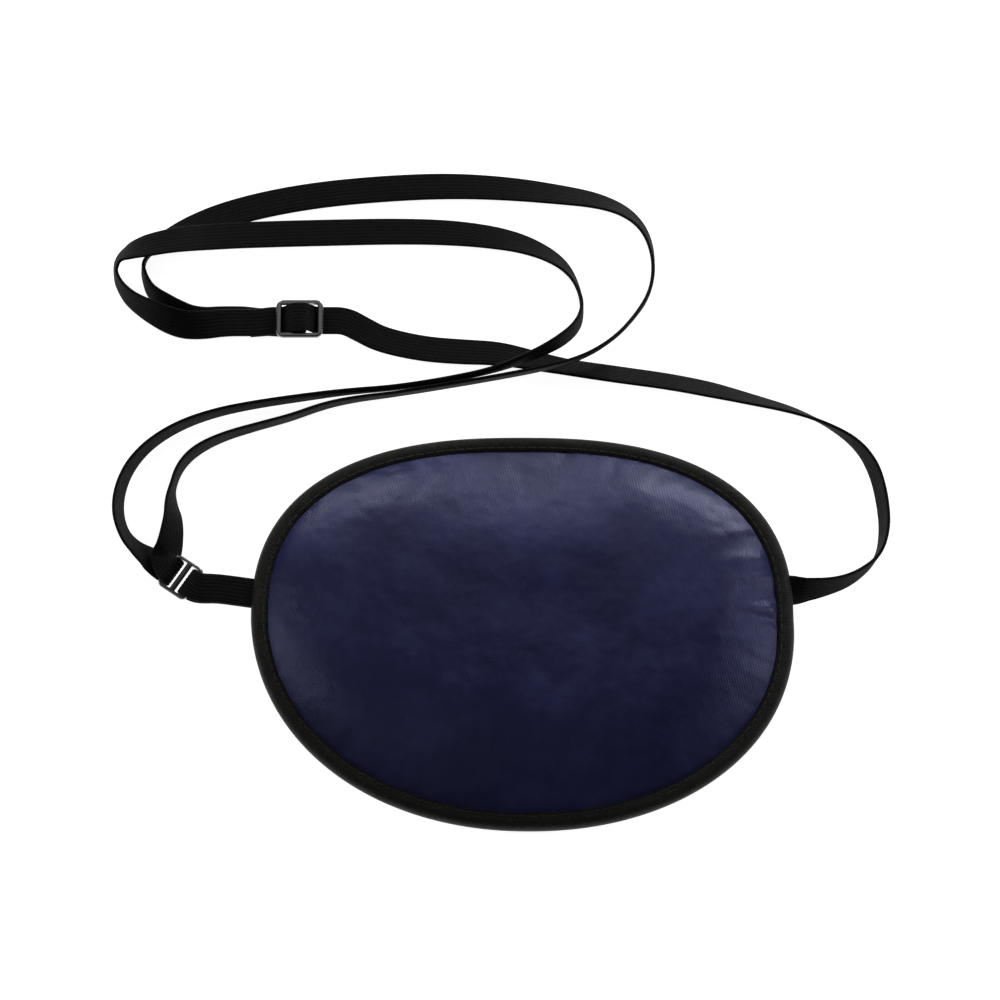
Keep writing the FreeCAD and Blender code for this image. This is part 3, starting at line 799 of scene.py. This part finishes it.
def filling(name, dark, light, scale):
    """Fibre of the hidden layers."""
    f = Finish(name, Roughness=0.9, Specular_IOR_Level=0.2, Sheen_Weight=0.2)
    where = f.place()
    fibre = f.noise(where, scale, 6.0, 0.7)
    f.color(fibre, [(0.3, dark), (0.7, light)])
    f.bump((fibre, 0.0003))
    return f.material


def table_top():
    """The pale table, bright enough to show as plain white."""
    f = Finish("table_top", Roughness=0.85, Specular_IOR_Level=0.1)
    grain = f.noise(f.place(), 30.0, 3.0)
    f.color(grain, [(0.3, (0.90, 0.90, 0.90)), (0.7, (0.94, 0.94, 0.94))])
    f.shader.inputs["Emission Color"].default_value = (1.0, 1.0, 1.0, 1.0)
    f.shader.inputs["Emission Strength"].default_value = 0.92
    return f.material


# ---------------------------------------------------------------- stage
def stage():
    """A plain pale table, soft lamps behind, beside and in front of the patch, and the camera."""
    bpy.ops.mesh.primitive_plane_add(size=6.0, location=(0, 0, -0.0002))
    floor = bpy.context.object
    floor.name = "table"
    floor.data.materials.append(table_top())

    world = bpy.data.worlds.new("studio")
    bpy.context.scene.world = world
    world.use_nodes = True
    world.node_tree.nodes["Background"].inputs["Color"].default_value = (1, 1, 1, 1)
    world.node_tree.nodes["Background"].inputs["Strength"].default_value = 0.045

    aim = Vector((0.0, 0.03, 0.0))
    lamps = [
        ("behind_left", (-0.42, 0.88, 0.30), 0.22, 2.4),
        ("behind_right", (0.48, 0.86, 0.30), 0.26, 4.0),
        ("behind_high", (0.05, 0.62, 0.75), 0.80, 1.1),
        ("side_left", (-0.95, 0.05, 0.35), 0.30, 1.0),
        ("side_right", (0.95, 0.10, 0.32), 0.30, 1.5),
        ("front_soft", (-0.50, -0.30, 0.80), 0.80, 0.5),
    ]
    for name, place, size, power in lamps:
        light = bpy.data.lights.new(name, "AREA")
        light.shape = "SQUARE"
        light.size = size
        light.energy = power
        lamp = bpy.data.objects.new(name, light)
        lamp.location = place
        lamp.rotation_euler = (aim - Vector(place)).to_track_quat("-Z", "Y").to_euler()
        bpy.context.scene.collection.objects.link(lamp)

    lens = bpy.data.cameras.new("camera")
    lens.lens = LENS
    lens.sensor_width = 36.0
    camera = bpy.data.objects.new("camera", lens)
    camera.location = TARGET + DISTANCE * Vector((0.0, -math.cos(TILT), math.sin(TILT)))
    camera.rotation_euler = (TARGET - camera.location).to_track_quat("-Z", "Y").to_euler()
    bpy.context.scene.collection.objects.link(camera)
    bpy.context.scene.camera = camera
    bpy.context.scene.view_settings.view_transform = "Standard"


# ---------------------------------------------------------------- build
def build_strap(cloth, gloss, sewing):
    """The elastic in its runs, folds and tab, the hardware's finish, and the bar tack on the sewn end.
    """
    for name in ("link_frame", "slider_frame"):
        NODES[name].data.materials.clear()
        NODES[name].data.materials.append(gloss)

    line, across = route(RIGHT_RUN)
    right = set_up(ribbon("strap_right", line, across), cloth, None, ["strap_right_run"])
    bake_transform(right)
    root_line, root_across = route(ROOT_END)
    set_up(ribbon("strap_root", root_line, root_across), cloth, "patch", ["strap_root_end"])

    lead, loop, path = two_runs(LOWER_LEAD, LOWER_LOOP, ("strap_lower_start", "strap_lower"))
    set_up(lead, cloth, None, ["strap_lower_lead"])
    set_up(loop, cloth, None, ["strap_lower_loop"])
    upper_lead, upper_loop, upper_path = two_runs(UPPER_LEAD, UPPER_LOOP,
                                                  ("strap_upper_start", "strap_upper"))
    set_up(upper_lead, cloth, None, ["strap_upper_lead"])
    set_up(upper_loop, cloth, None, ["strap_upper_loop"])
    for piece, points in ((lead, LOWER_LEAD), (upper_lead, UPPER_LEAD)):
        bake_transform(piece)
    for piece in (loop, upper_loop):
        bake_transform(piece)

    fold = set_up(link_fold(), cloth, "link", ["strap_link_fold"])
    set_up(tab(), cloth, "patch", ["link_tab"])
    passing, sewn_end = slider_folds()
    set_up(passing, cloth, "slider", ["strap_slider_pass"])
    set_up(sewn_end, cloth, "slider", ["strap_end_loop"])
    tack = set_up(bar_tack(), sewing, "slider", ["strap_end_tack"])


def build_pad(sewing):
    """The satin, lining, binding and stitches, and the finish of the hidden layers."""
    front = pad_piece("satin_front", COVER_INSET, front_level)
    puffed(front, 3, SWELL_CAP)
    set_up(front, satin(), "patch", ["front_cover"])
    front.modifiers.new("smooth", "SUBSURF").levels = 1

    back = pad_piece("lining_back", COVER_INSET, back_level)
    set_up(back, lining(), "patch", ["back_cover"])
    back.modifiers.new("smooth", "SUBSURF").levels = 1

    set_up(binding(), tape(), "patch", ["edge_binding"])
    set_up(stitches("stitches_front", STITCH_Z), sewing, "patch", ["seam_thread_front"])
    set_up(stitches("stitches_back", 2 * SEAM_Z - STITCH_Z), sewing, "patch",
           ["seam_thread_back"])

    white = filling("wadding_fibre", (0.62, 0.61, 0.58), (0.86, 0.85, 0.82), 260.0)
    grey = filling("blackout_felt", (0.08, 0.08, 0.08), (0.16, 0.16, 0.16), 600.0)
    for name, finish in (("front_wadding", white), ("back_wadding", white),
                         ("blackout_interlining", grey)):
        NODES[name].data.materials.clear()
        NODES[name].data.materials.append(finish)
    sink = NODES["front_wadding"].modifiers.new("sink", "DISPLACE")
    sink.mid_level = 0.0
    sink.strength = -WADDING_BELOW


stage()
sewing = thread()
build_strap(elastic(), plastic(), sewing)
build_pad(sewing)
